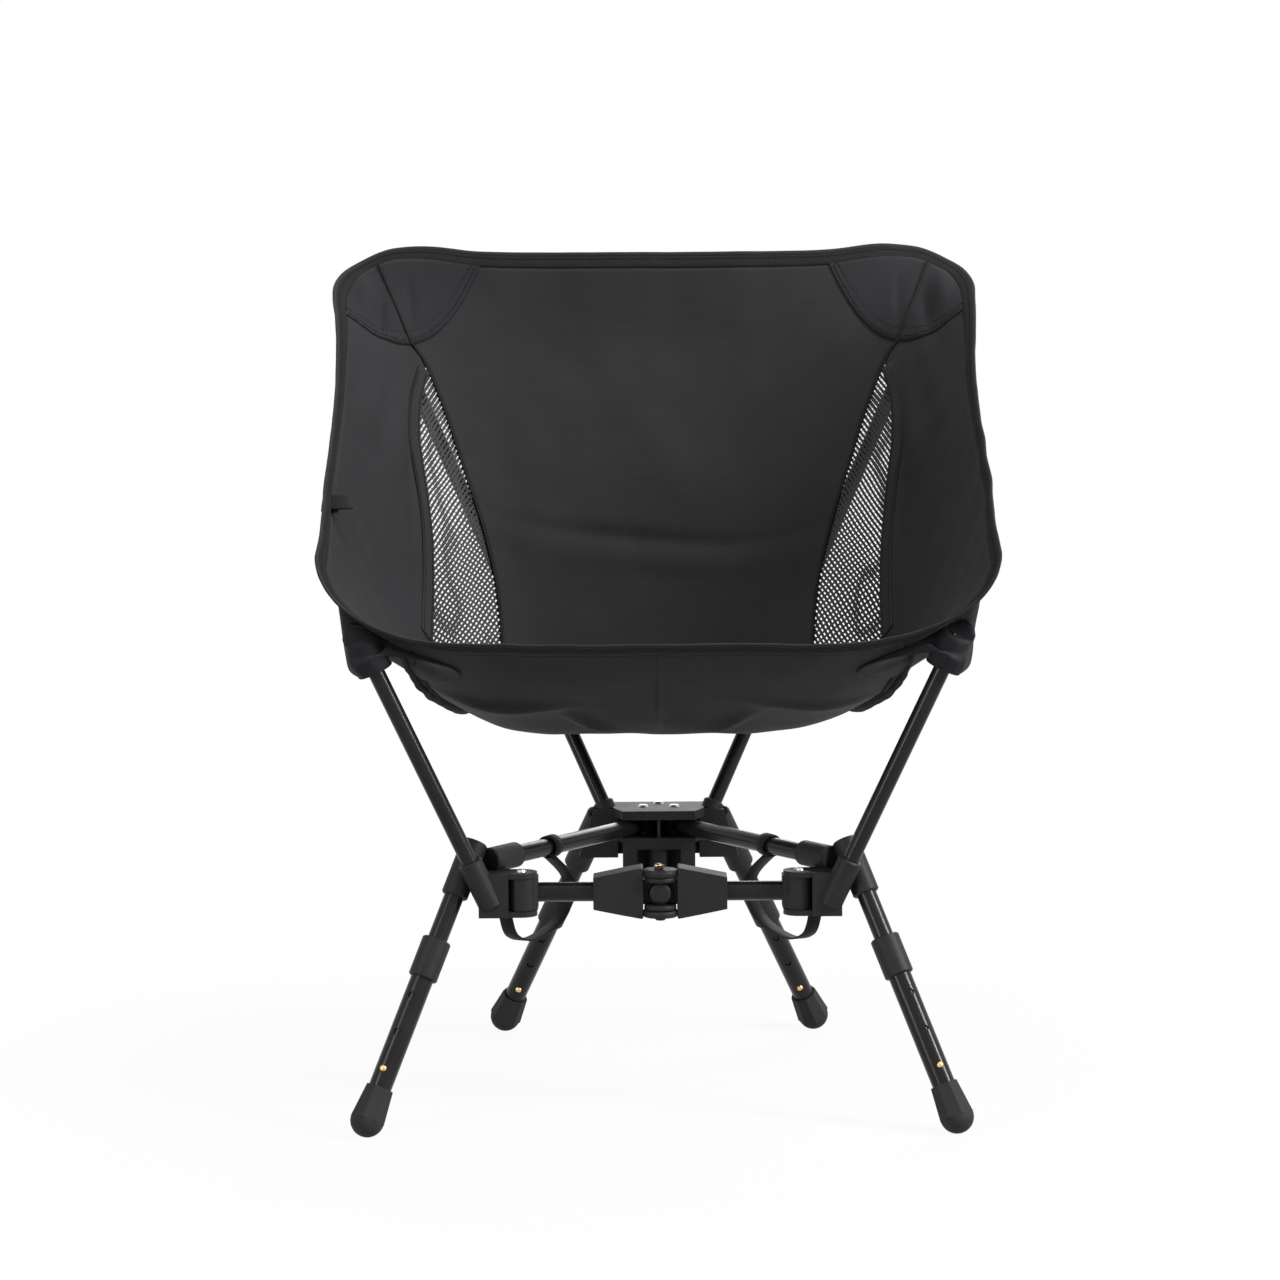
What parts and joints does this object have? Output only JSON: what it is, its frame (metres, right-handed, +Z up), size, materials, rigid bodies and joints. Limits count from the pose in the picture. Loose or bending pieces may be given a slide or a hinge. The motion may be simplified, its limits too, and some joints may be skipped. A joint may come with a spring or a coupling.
{
  "type": "folding camp chair",
  "caption": "Low folding camp chair: a cloth bucket seat with mesh side panels, hung from poles on a hub frame with telescoping legs and rubber feet.",
  "frame": {"origin": "on the floor under the middle of the chair's overall box, with the feet at z = 0", "axes": "+Z up, -Y towards the chair's front, +X towards a viewer's right who faces the front"},
  "size_m": [0.5224, 0.418, 0.6715],
  "materials": {
    "tube": "black anodised, satin",
    "plastic": "moulded, fine matt grain",
    "rubber": "matt",
    "brass": "polished",
    "steel": "domed and polished",
    "cloth": "plain woven, slight sheen",
    "mesh": "open diamond mesh",
    "webbing": "ribbed narrow webbing"
  },
  "bodies": {
    "frame": {"back_panel": "cloth", "back_pocket_left": "cloth", "back_pocket_right": "cloth", "hub_rivets": "steel", "mesh_panel_left": "mesh", "mesh_panel_right": "mesh", "rear_hub": "plastic", "rear_pole_left": "tube", "rear_pole_right": "tube", "seat_panel_left": "cloth", "seat_panel_right": "cloth", "side_wing_left": "cloth", "side_wing_right": "cloth", "upper_leg_rear_left": "tube", "upper_leg_rear_right": "tube"},
    "arm_left": {"side_arm_left": "tube", "arm_eye_left": "plastic", "corner_hub_left": "plastic", "corner_rivet_left": "steel", "front_pole_left": "tube", "front_pocket_left": "cloth", "upper_leg_front_left": "tube", "strap_left": "webbing"},
    "bar_left": {"bar_end_block_left": "plastic", "front_bar_left": "tube", "centre_hinge_left": "plastic", "hinge_pins": "brass"},
    "arm_right": {"side_arm_right": "tube", "arm_eye_right": "plastic", "corner_hub_right": "plastic", "corner_rivet_right": "steel", "front_pole_right": "tube", "front_pocket_right": "cloth", "upper_leg_front_right": "tube", "strap_right": "webbing"},
    "bar_right": {"bar_end_block_right": "plastic", "front_bar_right": "tube", "centre_hinge_right": "plastic"},
    "leg_front_left": {"foot_front_left": "rubber", "lower_leg_front_left": "tube", "leg_collar_front_left": "plastic"},
    "snap_front_left": {"snap_button_front_left": "brass"},
    "leg_front_right": {"foot_front_right": "rubber", "lower_leg_front_right": "tube", "leg_collar_front_right": "plastic"},
    "snap_front_right": {"snap_button_front_right": "brass"},
    "leg_rear_left": {"foot_rear_left": "rubber", "lower_leg_rear_left": "tube", "leg_collar_rear_left": "plastic"},
    "snap_rear_left": {"snap_button_rear_left": "brass"},
    "leg_rear_right": {"foot_rear_right": "rubber", "lower_leg_rear_right": "tube", "leg_collar_rear_right": "plastic"},
    "snap_rear_right": {"snap_button_rear_right": "brass"},
    "lock_button": {"lock_button": "plastic"}
  },
  "joints": [
    {"name": "arm_left_fold", "type": "hinge", "parent": "frame", "child": "arm_left", "pos_m": [-0.013, 0.066, 0.199], "axis": [0, 0, 1], "range_deg": [0, 15.16], "deforming": ["side_wing_left", "strap_left", "seat_panel_left"]},
    {"name": "bar_left_fold", "type": "hinge", "parent": "arm_left", "child": "bar_left", "pos_m": [-0.108, -0.128, 0.1745], "axis": [0, 0, 1], "range_deg": [0, 44.84], "deforming": ["strap_left"]},
    {"name": "arm_right_fold", "type": "hinge", "parent": "frame", "child": "arm_right", "pos_m": [0.013, 0.066, 0.199], "axis": [0, 0, 1], "range_deg": [-15.16, 0], "deforming": ["side_wing_right", "strap_right", "seat_panel_right"]},
    {"name": "bar_right_fold", "type": "hinge", "parent": "arm_right", "child": "bar_right", "pos_m": [0.108, -0.128, 0.1745], "axis": [0, 0, 1], "range_deg": [-44.84, 0], "deforming": ["strap_right"]},
    {"name": "leg_front_left_slide", "type": "slide", "parent": "arm_left", "child": "leg_front_left", "axis": [-0.347, -0.3513, -0.8696], "range_m": [0, 0.06], "deforming": ["snap_button_front_left"]},
    {"name": "snap_front_left_press", "type": "slide", "parent": "arm_left", "child": "snap_front_left", "axis": [0.1961, 0.8795, -0.4336], "range_m": [0, 0.0035], "stiffness_N_per_m": 400, "springref_m": -0.001, "deforming": ["snap_button_front_left"]},
    {"name": "leg_front_right_slide", "type": "slide", "parent": "arm_right", "child": "leg_front_right", "axis": [0.347, -0.3513, -0.8696], "range_m": [0, 0.06], "deforming": ["snap_button_front_right"]},
    {"name": "snap_front_right_press", "type": "slide", "parent": "arm_right", "child": "snap_front_right", "axis": [-0.1961, 0.8795, -0.4336], "range_m": [0, 0.0035], "stiffness_N_per_m": 400, "springref_m": -0.001, "deforming": ["snap_button_front_right"]},
    {"name": "leg_rear_left_slide", "type": "slide", "parent": "frame", "child": "leg_rear_left", "axis": [-0.3586, 0.464, -0.81], "range_m": [0, 0.06], "deforming": ["snap_button_rear_left"]},
    {"name": "snap_rear_left_press", "type": "slide", "parent": "frame", "child": "snap_rear_left", "axis": [0.1878, 0.8858, 0.4243], "range_m": [0, 0.0035], "stiffness_N_per_m": 400, "springref_m": -0.001, "deforming": ["snap_button_rear_left"]},
    {"name": "leg_rear_right_slide", "type": "slide", "parent": "frame", "child": "leg_rear_right", "axis": [0.3586, 0.464, -0.81], "range_m": [0, 0.06], "deforming": ["snap_button_rear_right"]},
    {"name": "snap_rear_right_press", "type": "slide", "parent": "frame", "child": "snap_rear_right", "axis": [-0.1878, 0.8858, 0.4243], "range_m": [0, 0.0035], "stiffness_N_per_m": 400, "springref_m": -0.001, "deforming": ["snap_button_rear_right"]},
    {"name": "lock_button_press", "type": "slide", "parent": "bar_right", "child": "lock_button", "axis": [0, 1, 0], "range_m": [0, 0.002], "stiffness_N_per_m": 500, "springref_m": -0.001}
  ],
  "couplings": [
    {"joint": "arm_right_fold", "follows": "arm_left_fold", "ratio": -1},
    {"joint": "bar_left_fold", "follows": "arm_left_fold", "ratio": 2.9578},
    {"joint": "bar_right_fold", "follows": "arm_left_fold", "ratio": -2.9578}
  ]
}
